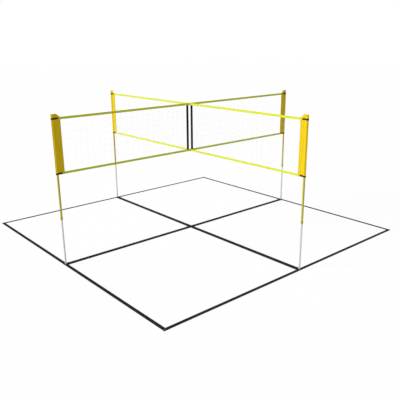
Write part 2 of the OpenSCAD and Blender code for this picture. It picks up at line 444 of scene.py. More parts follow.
class Shading(NodeTree):
    """Builds one material's node tree."""

    def __init__(self, name: str) -> None:
        """Starts a material of that name with a Principled shader."""
        self.material = bpy.data.materials.new(name)
        self.material.use_nodes = True
        super().__init__(self.material.node_tree)
        self.shader = self.tree.nodes["Principled BSDF"]

    def place(self, scale: tuple[float, float, float] = EVEN, use_uv: bool = False) -> Socket:
        """Gives coordinates in metres, scaled.

        Args:
            scale: Repeats per metre along each axis.
            use_uv: Whether they follow the piece's own UV map.

        Returns:
            A vector output.
        """
        if use_uv:
            source = self.node("ShaderNodeUVMap", uv_map=UV_NAME).outputs[0]
        else:
            source = self.node("ShaderNodeTexCoord").outputs["Object"]
        return self.node("ShaderNodeMapping", {"Scale": scale, "Vector": source}).outputs[0]

    def noise(self, where: Socket, scale: float = 1.0, detail: float = 2.0) -> Socket:
        """Adds a noise texture of so many octaves of detail, and gives its factor."""
        inputs = {"Scale": scale, "Detail": detail, "Vector": where}
        return self.node("ShaderNodeTexNoise", inputs).outputs["Fac"]

    def wave(self, along: Socket, rate: float) -> Socket:
        """The sine of a coordinate times a rate."""
        return self.math("SINE", self.math("MULTIPLY", along, rate))

    def tint(
        self, factor: Socket, colour: Colour, dark: float, light: float, low: float, high: float
    ) -> None:
        """Colours the surface between two tones of a colour.

        Args:
            factor: What chooses the tone.
            colour: The colour.
            dark: Share of the colour where the factor is low.
            light: Share of the colour where the factor is high.
            low: Factor at which the dark tone ends.
            high: Factor at which the light tone starts.
        """
        ramp = self.node("ShaderNodeValToRGB", {0: factor})
        stops = ramp.color_ramp.elements
        stops[0].position, stops[0].color = low, scaled(colour, dark)
        stops[1].position, stops[1].color = high, scaled(colour, light)
        self.link(ramp, self.shader.inputs["Base Color"])

    def roughen(self, factor: Socket, middle: float, down: float, up: float) -> None:
        """Varies the roughness around a middle: down where a factor is 0, and up where it is 1."""
        rise = self.math("MULTIPLY", factor, down + up)
        self.link(self.math("ADD", rise, middle - down), self.shader.inputs["Roughness"])

    def emboss(self, height: Socket, depth: float) -> None:
        """Adds relief of a depth in metres, from a height between 0 and 1."""
        inputs = {"Distance": depth, "Strength": BUMP_STRENGTH, "Height": height}
        self.link(self.node("ShaderNodeBump", inputs), self.shader.inputs["Normal"])

    def surface(self, values: dict[str, float]) -> None:
        """Sets plain values of the shader by the names of its inputs."""
        for name, value in values.items():
            self.shader.inputs[name].default_value = value


def scaled(colour: Colour, by: float) -> tuple[float, float, float, float]:
    """A colour with each channel multiplied and held under 1, and full alpha."""
    return (*(min(1.0, c * by) for c in colour), 1.0)


@dataclass(frozen=True)
class Finish:
    """What all finishes share: a name, a colour, and a material of procedural nodes."""

    name: str
    colour: Colour

    def build(self) -> Material:
        """Makes the material.

        Returns:
            The material.
        """
        made = Shading(self.name)
        self.shade(made)
        return made.material

    def shade(self, made: Shading) -> None:
        """Adds the nodes of this kind of finish to a new material."""
        raise NotImplementedError


@dataclass(frozen=True)
class WovenFinish(Finish):
    """Woven cloth or webbing, whose threads follow the piece's UV map."""

    thread: float = 1.0 * MM
    contrast: float = 0.2
    gain: float = 0.3
    roughness: float = 0.7
    coat: float = 0.0
    coat_roughness: float = 0.45
    relief: float = 0.25 * MM
    ribs: float = 0.0
    gloss: float = 0.15

    def shade(self, made: Shading) -> None:
        """Crosses the threads over and under, with ribs, fuzz and uneven dye.

        Args:
            made: The new material.
        """
        repeat = 1.0 / self.thread
        along = made.place((repeat, repeat, repeat), use_uv=True)
        u, v = made.node("ShaderNodeSeparateXYZ", {0: along}).outputs[:2]
        warp = made.math("ABSOLUTE", made.wave(u, HALF_TURN))
        weft = made.math("ABSOLUTE", made.wave(v, HALF_TURN))
        cell = made.math("ADD", made.math("FLOOR", u), made.math("FLOOR", v))
        over = made.math("PINGPONG", cell, 1.0)
        under = made.math("SUBTRACT", 1.0, over)
        height = made.mix((warp, over), (weft, under))
        cloud = made.noise(made.place(use_uv=True), scale=9.0, detail=3.0)
        fuzz = made.noise(along, scale=3.0)
        tone = made.mix((height, 0.55), (cloud, 0.45))
        light = 1 + self.contrast * self.gain
        made.tint(tone, self.colour, dark=1 - self.contrast, light=light, low=0.15, high=0.75)
        made.roughen(fuzz, self.roughness, down=0.1, up=0.1)
        if self.ribs:
            wave = made.wave(u, HALF_TURN * self.thread / self.ribs)
            height = made.mix((height, 1.0), (wave, 0.5))
        made.emboss(made.mix((height, 1.0), (fuzz, 0.3)), self.relief)
        made.surface({
            "Coat Weight": self.coat,
            "Coat Roughness": self.coat_roughness,
            "Specular IOR Level": self.gloss,
        })


@dataclass(frozen=True)
class PaintedMetal(Finish):
    """Powder-coated tube: fine orange peel, long rub marks and small chips."""

    roughness: float = 0.38
    metallic: float = 0.0
    rubbed: float = 0.15
    relief: float = 0.05 * MM

    def shade(self, made: Shading) -> None:
        """Adds the peel, the rub marks along Z and the soil.

        Args:
            made: The new material.
        """
        where = made.place()
        marks = made.noise(made.place(scale=(160.0, 160.0, 3.0)), detail=4.0)
        peel = made.noise(where, scale=900.0)
        soil = made.noise(where, scale=14.0, detail=4.0)
        tone = made.mix((marks, 0.5), (soil, 0.5))
        made.tint(tone, self.colour, dark=1 - self.rubbed, light=1.05, low=0.35, high=0.6)
        made.roughen(marks, self.roughness, down=0.08, up=0.14)
        made.emboss(made.mix((peel, 1.0), (marks, 0.4)), self.relief)
        made.surface({"Metallic": self.metallic})


@dataclass(frozen=True)
class BrushedMetal(Finish):
    """Drawn or turned metal, with fine lines along Z and dull patches."""

    roughness: float = 0.42
    metallic: float = 0.85
    relief: float = 0.02 * MM

    def shade(self, made: Shading) -> None:
        """Adds the lines and the dull patches.

        Args:
            made: The new material.
        """
        lines = made.noise(made.place(scale=(900.0, 900.0, 6.0)), detail=3.0)
        dull = made.noise(made.place(), scale=22.0, detail=4.0)
        tone = made.mix((lines, 0.6), (dull, 0.4))
        made.tint(tone, self.colour, dark=0.86, light=1.06, low=0.3, high=0.7)
        made.roughen(tone, self.roughness, down=0.1, up=0.12)
        made.emboss(lines, self.relief)
        made.surface({"Metallic": self.metallic})


@dataclass(frozen=True)
class MouldedPlastic(Finish):
    """Moulded plastic or rubber with a fine spark-eroded grain and light scuffs."""

    roughness: float = 0.5
    grain: float = 0.06 * MM

    def shade(self, made: Shading) -> None:
        """Adds the grain and the scuffs.

        Args:
            made: The new material.
        """
        fine = made.noise(made.place(), scale=1600.0)
        scuffs = made.noise(made.place(scale=(60.0, 60.0, 240.0)), detail=5.0)
        tone = made.mix((fine, 0.3), (scuffs, 0.7))
        made.tint(tone, self.colour, dark=0.85, light=1.15, low=0.35, high=0.68)
        made.roughen(scuffs, self.roughness, down=0.08, up=0.12)
        made.emboss(fine, self.grain)


@dataclass(frozen=True)
class TwistedThread(Finish):
    """Twisted synthetic thread, lit through a little."""

    lay: float = 420.0
    roughness: float = 0.7
    clear: float = 0.0
    bend: float = 1.3
    gloss: float = 0.2
    relief: float = 0.15 * MM

    def shade(self, made: Shading) -> None:
        """Adds slanting strands and fuzz.

        Args:
            made: The new material.
        """
        where = made.place((self.lay, self.lay, self.lay))
        x, y, z = made.node("ShaderNodeSeparateXYZ", {0: where}).outputs
        slope = made.math("ADD", made.math("ADD", x, y), z)
        strand = made.math("ABSOLUTE", made.wave(slope, HALF_TURN))
        fuzz = made.noise(made.place(), scale=2500.0)
        tone = made.mix((strand, 0.7), (fuzz, 0.3))
        made.tint(tone, self.colour, dark=0.88, light=1.0, low=0.1, high=0.6)
        made.roughen(fuzz, self.roughness, down=0.1, up=0.1)
        made.emboss(strand, self.relief)
        made.surface({
            "Transmission Weight": self.clear, "IOR": self.bend, "Specular IOR Level": self.gloss
        })


@dataclass(frozen=True)
class Finishes:
    """The finishes of the soft pieces."""

    court: Material
    webbing: Material
    sleeve: Material
    binding: Material
    band: Material
    twine: Material
    black_thread: Material
    yellow_thread: Material
    band_thread: Material

    @classmethod
    def build(cls) -> "Finishes":
        """Makes every finish and paints the CAD nodes.

        Returns:
            The finishes that the soft pieces take.
        """
        by_slot = {
            "yellow_tube": PaintedMetal("yellow_powder_coat", (0.66, 0.595, 0.018)),
            "grey_tube": BrushedMetal(
                "grey_anodised_tube", (0.74, 0.74, 0.75), roughness=0.45, metallic=0.4
            ),
            "spigot_metal": BrushedMetal("spigot_aluminium", (0.62, 0.62, 0.63)),
            "collar_plastic": MouldedPlastic("yellow_collar_plastic", (0.58, 0.52, 0.016)),
            "black_plastic": MouldedPlastic("black_plastic", (0.022, 0.022, 0.022)),
            "foot_rubber": MouldedPlastic(
                "grey_foot_rubber", (0.28, 0.28, 0.28), roughness=0.75, grain=0.12 * MM
            ),
            "eyelet_metal": PaintedMetal(
                "black_eyelet_metal", (0.03, 0.03, 0.03), roughness=0.35, metallic=0.6
            ),
        }
        painted = {slot: finish.build() for slot, finish in by_slot.items()}
        for row in frame["record"]["subparts"]:
            if row["material_slot"] in painted:
                materials = frame["nodes"][row["node"]].data.materials
                materials.clear()
                materials.append(painted[row["material_slot"]])
        soft = {
            "court": WovenFinish(
                "court_webbing", (0.016, 0.016, 0.016), thread=1.8 * MM, contrast=0.65, roughness=0.9,
                relief=0.5 * MM, ribs=3.0 * MM, gloss=0.08,
            ),
            "webbing": WovenFinish(
                "black_webbing", (0.014, 0.014, 0.014), thread=1.5 * MM, contrast=0.65, roughness=0.85,
                relief=0.45 * MM, ribs=2.4 * MM, gloss=0.12,
            ),
            "sleeve": WovenFinish(
                "sleeve_oxford_cloth", (0.96, 0.69, 0.006), thread=1.1 * MM, contrast=0.16,
                roughness=0.65, coat=0.03, relief=0.2 * MM,
            ),
            "binding": WovenFinish("sleeve_binding", (0.93, 0.64, 0.006)),
            "band": WovenFinish(
                "neon_band_webbing", (0.83, 0.89, 0.03), contrast=0.15, relief=0.15 * MM
            ),
            "twine": TwistedThread("white_net_twine", (0.96, 0.96, 0.96), clear=0.5),
            "black_thread": TwistedThread("black_sewing_thread", (0.03, 0.03, 0.03)),
            "yellow_thread": TwistedThread("yellow_sewing_thread", (0.80, 0.60, 0.02)),
            "band_thread": TwistedThread("neon_sewing_thread", (0.70, 0.74, 0.05)),
        }
        return cls(**{name: finish.build() for name, finish in soft.items()})


# ---------------------------------------------------------------- geometry node trees


@dataclass(frozen=True)
class Stitch:
    """One kind of stitch: how far apart, how long and how thick."""

    pitch: float
    length: float
    thickness: float = 0.9 * MM


class NodeRecipe(NodeTree):
    """A geometry node tree with named inputs that ends in a plain mesh of one material."""

    def __init__(self, name: str, floats: Sequence[str], ints: Sequence[str] = ()) -> None:
        """Starts the tree.

        Args:
            name: Name of the tree.
            floats: Names of its inputs that are lengths.
            ints: Names of its inputs that are whole numbers.
        """
        super().__init__(bpy.data.node_groups.new(name, "GeometryNodeTree"))
        face = self.tree.interface
        kinds = {**dict.fromkeys(floats, "NodeSocketFloat"), **dict.fromkeys(ints, "NodeSocketInt")}
        kinds["Material"] = "NodeSocketMaterial"
        face.new_socket(name="Geometry", in_out="INPUT", socket_type="NodeSocketGeometry")
        self.keys = {
            label: face.new_socket(name=label, in_out="INPUT", socket_type=kind).identifier
            for label, kind in kinds.items()
        }
        face.new_socket(name="Geometry", in_out="OUTPUT", socket_type="NodeSocketGeometry")
        self.said = self.node("NodeGroupInput").outputs
        self.sink = self.node("NodeGroupOutput")

    def finish(self, geometry: Node) -> None:
        """Ends the tree in Realize Instances and Set Material.

        Args:
            geometry: The node that makes the last of the shape.
        """
        realize = self.node("GeometryNodeRealizeInstances", {0: geometry})
        inputs = {"Geometry": realize, "Material": self.said["Material"]}
        self.link(self.node("GeometryNodeSetMaterial", inputs), self.sink.inputs[0])

    def bake(self, obj: Piece, values: dict[str, object]) -> None:
        """Runs the tree on an object and leaves a plain smooth mesh.

        Args:
            obj: The object that the tree reads.
            values: Value of each named input.
        """
        modifier = obj.modifiers.new("recipe", "NODES")
        modifier.node_group = self.tree
        for label, value in values.items():
            modifier[self.keys[label]] = value
        obj.update_tag()
        bpy.context.view_layer.update()
        bake_modifiers(obj)
        obj.data.shade_smooth()


class StitchRecipe(NodeRecipe):
    """Stitches laid along the edges of a wire mesh, each one a short bead."""

    BEAD_SEGMENTS = 5
    BEAD_RINGS = 3

    def __init__(self) -> None:
        """Builds the tree."""
        super().__init__("stitches", ("Pitch", "Length", "Thickness"))
        said = self.said
        seam = self.node("GeometryNodeMeshToCurve", {"Mesh": said["Geometry"]})
        spaced = {"Curve": seam, "Length": said["Pitch"]}
        points = self.node("GeometryNodeResampleCurve", spaced, mode="LENGTH")
        tangent = self.node("GeometryNodeInputTangent")
        turn = self.node("FunctionNodeAlignRotationToVector", {"Vector": tangent}, axis="X")
        round_bead = {"Segments": self.BEAD_SEGMENTS, "Rings": self.BEAD_RINGS, "Radius": 0.5}
        bead = self.node("GeometryNodeMeshUVSphere", round_bead)
        sides = {"X": said["Length"], "Y": said["Thickness"], "Z": said["Thickness"]}
        size = self.node("ShaderNodeCombineXYZ", sides)
        shape = self.node("GeometryNodeTransform", {"Geometry": bead, "Scale": size})
        placed = {"Points": points, "Instance": shape, "Rotation": turn}
        self.finish(self.node("GeometryNodeInstanceOnPoints", placed))

    def sew(
        self, name: str, seams: Sequence[Ring], place: Matrix, stitch: Stitch, material: Material,
        body: str, slot: str,
    ) -> None:
        """Sews rows of stitches, as one piece.

        Args:
            name: Name of the piece.
            seams: Lines that the rows follow.
            place: Where the lines go in the row frame.
            stitch: The kind of stitch.
            material: The thread's finish.
            body: Name of the body that it rides on.
            slot: The record's material slot; not used.
        """
        points: list[Vector] = []
        edges: list[tuple[int, int]] = []
        for seam in seams:
            start = len(points)
            points.extend(place @ p for p in seam)
            edges.extend((start + k, start + k + 1) for k in range(len(seam) - 1))
        mesh = bpy.data.meshes.new(name)
        mesh.from_pydata(points, edges, [])
        obj = link(bpy.data.objects.new(name, mesh))
        self.bake(obj, {
            "Pitch": stitch.pitch, "Length": stitch.length, "Thickness": stitch.thickness,
            "Material": material,
        })
        dress(obj, body, material)


class NetRecipe(NodeRecipe):
    """Square mesh of knotted twine, drawn upright over X and Z with its middle at the origin."""

    CORD_SIDES = 6
    RIM_FACES = 2

    def __init__(self) -> None:
        """Builds the tree."""
        super().__init__(
            "knotted_net", ("Width", "Height", "Twine", "Knot", "Slack"), ("Columns", "Rows", "Seed")
        )
        said = self.said
        columns = self.math("ADD", said["Columns"], 1.0)
        rows = self.math("ADD", said["Rows"], 1.0)
        measures = {
            "Size X": said["Width"], "Size Y": said["Height"], "Vertices X": columns, "Vertices Y": rows
        }
        slack = self.slackened(self.node("GeometryNodeMeshGrid", measures))
        lines = self.node("GeometryNodeMeshToCurve", {"Mesh": slack})
        outline = {"Resolution": self.CORD_SIDES, "Radius": self.math("MULTIPLY", said["Twine"], 0.5)}
        ring = self.node("GeometryNodeCurvePrimitiveCircle", outline)
        drawn = {"Curve": lines, "Profile Curve": ring, "Fill Caps": True}
        cord = self.node("GeometryNodeCurveToMesh", drawn)
        ball = {"Subdivisions": 1, "Radius": self.math("MULTIPLY", said["Knot"], 0.5)}
        knot = self.node("GeometryNodeMeshIcoSphere", ball)
        tie = self.node("GeometryNodeInstanceOnPoints", {"Points": slack, "Instance": knot})
        both = self.node("GeometryNodeJoinGeometry", {0: tie})
        self.link(cord, both.inputs[0])
        upright = {"Rotation": (QUARTER_TURN, 0.0, 0.0), "Geometry": both}
        self.finish(self.node("GeometryNodeTransform", upright))

    def slackened(self, mesh: Node) -> Node:
        """Moves the grid's inner points a little, at random.

        Args:
            mesh: The grid.

        Returns:
            The grid with uneven squares.
        """
        limits = {"Min": (-1.0, -1.0, -1.0), "Max": (1.0, 1.0, 1.0), "Seed": self.said["Seed"]}
        random = self.node("FunctionNodeRandomValue", limits, data_type="FLOAT_VECTOR")
        shift = {0: random, "Scale": self.said["Slack"]}
        amount = self.node("ShaderNodeVectorMath", shift, operation="SCALE")
        faces = self.node("GeometryNodeInputMeshVertexNeighbors").outputs["Face Count"]
        inner = self.node(
            "FunctionNodeCompare", {"A": faces, "B": self.RIM_FACES},
            data_type="INT", operation="GREATER_THAN",
        )
        moved = {"Geometry": mesh, "Selection": inner, "Offset": amount}
        return self.node("GeometryNodeSetPosition", moved)


# ---------------------------------------------------------------- court


@dataclass
class Assembly:
    """What every sub-assembly is built from."""

    sizes: SetSizes
    finishes: Finishes
    stitches: StitchRecipe


@dataclass
class Court(Assembly):
    """The webbing on the ground, its sewn patches and their stitches."""

    lift: float = 0.5 * MM
    lift_waves: float = 1.7
    lift_seed: float = 3.0
    sway: float = 0.8 * MM
    sway_waves: float = 0.9
    step: float = 80 * MM
    calm: float = 150 * MM
    rim: float = 1.2 * MM
    bevel: tuple[float, float] = (0.35 * MM, 0.25 * MM)
    selvedge: tuple[float, float] = (3 * MM, 4.2 * MM)
    dip: float = 0.12
    inset: float = 5 * MM
    centre_gap: float = 6 * MM
    proud: float = 0.1 * MM
    smooth_deg: float = 40.0
    long_seed: float = 11.0
    short_seed: float = 17.0
    stitch: Stitch = Stitch(5 * MM, 3.6 * MM)

    def section(self, width: float, low: float, high: float) -> list[Flat]:
        """Outline of flat webbing seen along its length, with thick woven selvedges.

        Args:
            width: The webbing's width.
            low: Height of its underside.
            high: Height of its upper side.

        Returns:
            Points (across, up), anticlockwise.
        """
        half, body = width / 2, high - self.dip * (high - low)
        upper = [
            (half, (low + high) / 2),
            (half - self.bevel[0], high - self.bevel[1]),
            (half - self.rim, high),
            (half - self.selvedge[0], high),
            (half - self.selvedge[1], body),
            (0.0, body),
        ]
        left = [(-x, z) for x, z in reversed(upper[:-1])]
        return [(-half + self.rim, low), (half - self.rim, low), *upper, *left]

    def strip(
        self, name: str, start: Vector, end: Vector, width: float, low: float, high: float,
        seed: Optional[float] = None,
    ) -> Piece:
        """A straight strip of webbing.

        Args:
            name: Name of the piece.
            start: Middle of one end, on the ground.
            end: Middle of the other end.
            width: Its width.
            low: Height of its underside.
            high: Height of its upper side.
            seed: Number that picks its small waves, or None where it is sewn down flat.

        Returns:
            The piece.
        """
        length = (end - start).length
        forward = (end - start) / length
        side = Vector((-forward.y, forward.x, 0.0))
        outline = self.section(width, low, high)
        rings, stations = [], spread(0.0, length, max(4, round(length / self.step)))
        for s in stations:
            aside = up = 0.0
            if seed is not None:
                calm = fade(s / self.calm, (length - s) / self.calm)
                aside = self.sway * ripple(s, seed, self.sway_waves) * calm
                up = self.lift * max(0.0, ripple(s, seed + self.lift_seed, self.lift_waves)) * calm
            middle = start + forward * s + side * aside
            rings.append([middle + side * x + Vector((0.0, 0.0, z + up)) for x, z in outline])
        return swept(name, rings, stations, smooth_deg=self.smooth_deg)

    def lay(
        self, name: str, start: Vector, end: Vector, width: float, holes: Sequence[Vector], seed: float
    ) -> None:
        """Lays one line of the court.

        Args:
            name: Name of the CAD node that it stands for.
            start: Middle of one end.
            end: Middle of the other end.
            width: Its width.
            holes: Middles of its eyelets' holes.
            seed: Number that picks its small waves.
        """
        obj = self.strip(f"{name}_webbing", start, end, width, 0.0, self.sizes.line_t, seed)
        if holes:
            punch(obj, holes, self.sizes.punch_r)
        dress(obj, BASE_BODY, self.finishes.court, [name])

    def patch(
        self, name: str, node: str, place: Matrix, low: Vector, high: Vector, hole: Optional[Vector],
        rests: Sequence[str],
    ) -> None:
        """Sews one patch on the court's webbing.

        Args:
            name: Name of the piece.
            node: CAD node that it belongs to.
            place: Turn of the patch into its place.
            low: Its lowest corner before the turn.
            high: Its highest corner before the turn.
            hole: Middle of its eyelet's hole before the turn.
            rests: The lines that it is sewn on; not used.
        """
        middle, width = (low.y + high.y) / 2, high.y - low.y
        start, end = Vector((low.x, middle, 0.0)), Vector((high.x, middle, 0.0))
        obj = self.strip(name, start, end, width, low.z, high.z)
        obj.data.transform(place)
        if hole is not None:
            punch(obj, [place @ hole], self.sizes.punch_r)
        dress(obj, BASE_BODY, self.finishes.court, [node])

    def box_seam(self, place: Matrix, low: Flat, high: Flat, crossed: bool) -> list[Ring]:
        """Lines of a box sewn on a patch, with its diagonals if wanted.

        Args:
            place: Turn of the patch into its place.
            low: One corner (x, y) before the turn.
            high: The opposite corner.
            crossed: Whether the diagonals are sewn too.

        Returns:
            The lines.
        """
        top = self.sizes.seam_z + self.proud
        flat = (low, (high[0], low[1]), high, (low[0], high[1]))
        corners = [place @ Vector((x, y, top)) for x, y in flat]
        seams = [[a, b] for a, b in zip(corners, [*corners[1:], corners[0]])]
        return seams + [[corners[0], corners[2]], [corners[1], corners[3]]] if crossed else seams

    def build_lines(self) -> None:
        """Lays the four boundary lines and the three cross lines."""
        s = self.sizes
        for k, wing in enumerate(Wing):
            whole = k % 2 == 0
            half = s.reach + (s.line_w if whole else -s.line_w) / 2
            turn = wing.matrix
            places = (-s.reach, 0.0, s.reach) if whole else (0.0,)
            holes = [turn @ Vector((s.reach, y, 0.0)) for y in places]
            ends = [turn @ Vector((s.reach, y, 0.0)) for y in (-half, half)]
            self.lay(wing.court_line, *ends, s.line_w, holes, k + 1.0)
        inner = s.reach - s.line_w / 2
        ends = [Vector((0.0, y, 0.0)) for y in (-inner, inner)]
        self.lay(Wing.BACK.cross_line, *ends, s.cross_w, [], self.long_seed)
        for wing in (Wing.RIGHT, Wing.LEFT):
            ends = [wing.matrix @ Vector((x, 0.0, 0.0)) for x in (s.cross_w / 2, inner)]
            self.lay(wing.cross_line, *ends, s.cross_w, [], self.short_seed + wing.value)

    def build_patches(self) -> None:
        """Sews the patches at the corners, at the poles and in the middle."""
        s = self.sizes
        inner, outer, side = s.reach - s.line_w / 2, s.reach + s.line_w / 2, s.cross_w / 2
        corners = frame["nodes"]["pole_patches"].data.vertices
        patch_low = min(v.co.x for v in corners if v.co.x > s.reach / 2)
        patch_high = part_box("pole_patches")[1].x
        seams: list[Ring] = []
        for wing, beside in zip(Wing, [*list(Wing)[1:], Wing.RIGHT]):
            turn = wing.matrix
            low, high = Vector((inner, inner, s.line_t)), Vector((outer, outer, s.seam_z))
            hole, rests = Vector((s.reach, s.reach, 0.0)), [wing.court_line, beside.court_line]
            self.patch(f"corner_patch_{wing.label}", "corner_patches", turn, low, high, hole, rests)
            near, far = inner + self.inset, outer - self.inset
            seams += self.box_seam(turn, (near, near), (far, far), False)
            low, high = Vector((patch_low, -side, s.line_t)), Vector((patch_high, side, s.seam_z))
            hole, rests = Vector((s.reach, 0.0, 0.0)), [wing.court_line, wing.cross_line]
            self.patch(f"pole_patch_{wing.label}", "pole_patches", turn, low, high, hole, rests)
            start, edge = patch_low + self.inset, side - self.inset
            seams += self.box_seam(turn, (start, -edge), (near, edge), True)
        low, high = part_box("centre_patch")
        rests = [wing.cross_line for wing in (Wing.RIGHT, Wing.BACK, Wing.LEFT)]
        self.patch("centre_patch_webbing", "centre_patch", STILL, low, high, None, rests)
        far, edge = high.x - self.inset, high.y - self.inset
        for sign in SIDES:
            near = (sign * self.centre_gap, low.y + self.inset)
            seams += self.box_seam(STILL, near, (sign * far, edge), True)
        thread = self.finishes.black_thread
        self.stitches.sew("patch_stitches", seams, STILL, self.stitch, thread, BASE_BODY, "court_webbing")

    def build(self) -> None:
        """Makes the whole court."""
        self.build_lines()
        self.build_patches()


# ---------------------------------------------------------------- sleeves and straps


@dataclass(frozen=True)
class Folds:
    """Smooth folds of a cloth: how closely they lie each way, how high they are, what picks them."""

    across: float
    up: float
    share: float = 1.0
    seed_scale: float = 1.0
    seed_shift: float = 0.0

    def at(self, x: float, z: float, seed: float) -> float:
        """Height of the folds at a place."""
        pick = seed * self.seed_scale + self.seed_shift
        return self.share * noise.noise(Vector((x * self.across, z * self.up, pick)))


@dataclass
class Sleeve(Assembly):
    """A cloth sleeve on one pole: two panels sewn together around the tube.

    Places along the panel are measured from the pole's axis, outward positive.
    """

    wing: Wing
    cloth: float = 1.0 * MM
    clearance: float = 0.3 * MM
    panel_half: float = 1.5 * MM
    seam_in: float = 25 * MM
    hem_seam: float = 3 * MM
    cover_power: float = 1.5
    over_tube: float = 0.62
    columns: tuple[int, int, int, int] = (22, 4, 20, 5)
    beside_seam: tuple[float, float] = (6 * MM, 2 * MM)
    beside_pocket: float = 1.5 * MM
    rows: int = 96
    roof: float = 4 * MM
    roof_start: float = 5 * MM
    roof_rows: tuple[float, ...] = (4.0, 3.2, 2.5, 1.9, 1.4, 0.95, 0.6, 0.3, 0.12, 0.0)
    roof_half: float = 0.6 * MM
    pucker: float = 1.1 * MM
    pucker_fade: tuple[float, float, float] = (14 * MM, 10 * MM, 30 * MM)
    long_folds: Folds = Folds(42, 4.2, 0.9, 5.0)
    small_folds: Folds = Folds(120, 26, 0.25, 9.0, 4.0)
    pinches: Folds = Folds(60, 18, 0.9)
    pinch_waves: float = 260.0
    pinch_reach: float = 55 * MM
    panel_seed: float = 0.37
    taut: float = 0.35
    drape: float = 5 * MM
    drape_fade: tuple[float, float, float] = (16 * MM, 12 * MM, 40 * MM)
    drape_hem: float = 6 * MM
    drape_folds: Folds = Folds(26, 2.6)
    drape_creases: Folds = Folds(60, 8, 0.45, 1.0, 3.0)
    drape_reach: float = 30 * MM
    drape_seed: float = 2.6
    seam_proud: float = 0.35 * MM
    seam_span: tuple[float, float] = (0.004, 0.988)
    seam_steps: int = 60
    edge_seam: float = 7 * MM
    outer_seam: float = 4 * MM
    hem_row: tuple[float, float] = (6 * MM, 2 * MM)
    top_row: tuple[float, float] = (8 * MM, 4 * MM)
    binding_w: float = 11 * MM
    binding_t: float = 0.9 * MM
    binding_fit: float = 0.15 * MM
    binding_gap: float = 0.2 * MM
    binding_ends: tuple[float, float] = (0.5 * MM, 1 * MM)
    binding_steps: int = 40
    binding_stray: float = 0.25 * MM
    binding_waves: float = 9.0
    binding_seam: float = 3 * MM
    binding_proud: float = 0.25 * MM
    fold_depth: float = 0.6
    fold_steps: int = 8
    strap_gap: float = 0.5 * MM
    strap_edge: float = 2.2 * MM
    strap_bevel: float = 0.3 * MM
    strap_nip: float = 0.55
    strap_turn: float = 0.4 * MM
    strap_start: tuple[float, float] = (1.2 * MM, 3 * MM)
    strap_stray: float = 0.3 * MM
    strap_step: float = 20 * MM
    strap_waves: float = 12.0
    tack_span: tuple[float, float] = (4.2 * MM, 0.8 * MM)
    tack_over: float = 2 * MM
    tack_proud: float = 0.3 * MM
    tack_steps: int = 22
    stitch: Stitch = Stitch(7 * MM, 4.5 * MM)
    tack: Stitch = Stitch(1.8 * MM, 2.0 * MM, 0.8 * MM)

    @property
    def pocket_r(self) -> float:
        """Radius of the cloth around the tube, at the middle of its thickness."""
        return self.sizes.tube_r + self.clearance + self.cloth / 2

    @property
    def hem_out(self) -> float:
        """Distance from the pole's axis to the outer hem."""
        return self.sizes.hem_x - self.sizes.reach

    @property
    def panel_in(self) -> float:
        """Distance from the pole's axis to the net's edge, along the panel."""
        return self.sizes.reach - self.sizes.panel_x

    def sew(self, part: str, seams: Sequence[Ring], stitch: Stitch) -> None:
        """Sews seams of the sleeve in yellow thread."""
        name, thread = f"sleeve_{self.wing.label}_{part}", self.finishes.yellow_thread
        self.stitches.sew(name, seams, self.wing.matrix, stitch, thread, NET_BODY, "sleeve_cloth")

    def half_width(self, x: float) -> float:
        """Distance from the panel's middle plane to its cloth, before any puckers.

        Args:
            x: Place along the panel.

        Returns:
            The distance.
        """
        flat = self.panel_half
        tail = self.seam_in if x < 0 else self.hem_out - self.hem_seam
        t = min(1.0, abs(x) / tail)
        circle = math.sqrt(max(0.0, self.pocket_r**2 - x * x))
        cover = flat + (self.pocket_r - flat) * (1 - t * t) ** self.cover_power
        return max(circle, cover, flat)

    def stations(self) -> list[float]:
        """Divides the panel's width, finely at the pocket and its seams.

        Returns:
            Places along the panel, in order.
        """
        panel, inner, pocket, outer = self.columns
        before, after = self.beside_seam
        beside = self.pocket_r + self.beside_pocket
        return [
            *spread(-self.panel_in, -self.seam_in - before, panel),
            *spread(-self.seam_in - after, -beside, inner),
            *(self.pocket_r * -math.cos(a) for a in spread(0.0, HALF_TURN, pocket)),
            *spread(beside, self.hem_out, outer),
        ]

    def top(self, x: float) -> float:
        """Height of the sleeve's upper edge: flat at the pole, then slanting to the net.

        Args:
            x: Place along the panel.

        Returns:
            The height.
        """
        s = self.sizes
        start = self.hem_out - s.tip_flat
        if x >= start:
            return s.tip_z
        return s.tip_z - (s.tip_z - s.slant_z) * (start - x) / (start + self.panel_in)

    def near_strap(self, z: float, reach: float) -> float:
        """How near a height is to a strap, 1 at it and toward 0 beyond the reach."""
        return max(math.exp(-(((z - level) / reach) ** 2)) for level in self.sizes.strap_zs)

    def relief(self, x: float, z: float, side: int) -> float:
        """Puckers of the cloth: long upright folds, and pinches beside the straps.

        Args:
            x: Place along the panel.
            z: Height.
            side: Which of the two panels, 1 or -1.

        Returns:
            How far the cloth stands out there.
        """
        s = self.sizes
        near, far, upright = self.pucker_fade
        seed = self.wing.quarters + side * self.panel_seed
        edge = fade((x + self.panel_in) / near, (self.hem_out - x) / far)
        ends = fade((z - s.bottom_z) / upright, (s.tip_z - z) / upright)
        pinch = self.near_strap(z, self.pinch_reach) * math.sin(x * self.pinch_waves + seed)
        folds = self.long_folds.at(x, z, seed) + self.small_folds.at(x, z, seed)
        folds += pinch * self.pinches.at(x, z, seed)
        taut = self.taut if abs(x) < self.pocket_r else 1.0
        return self.pucker * taut * edge * ends * folds

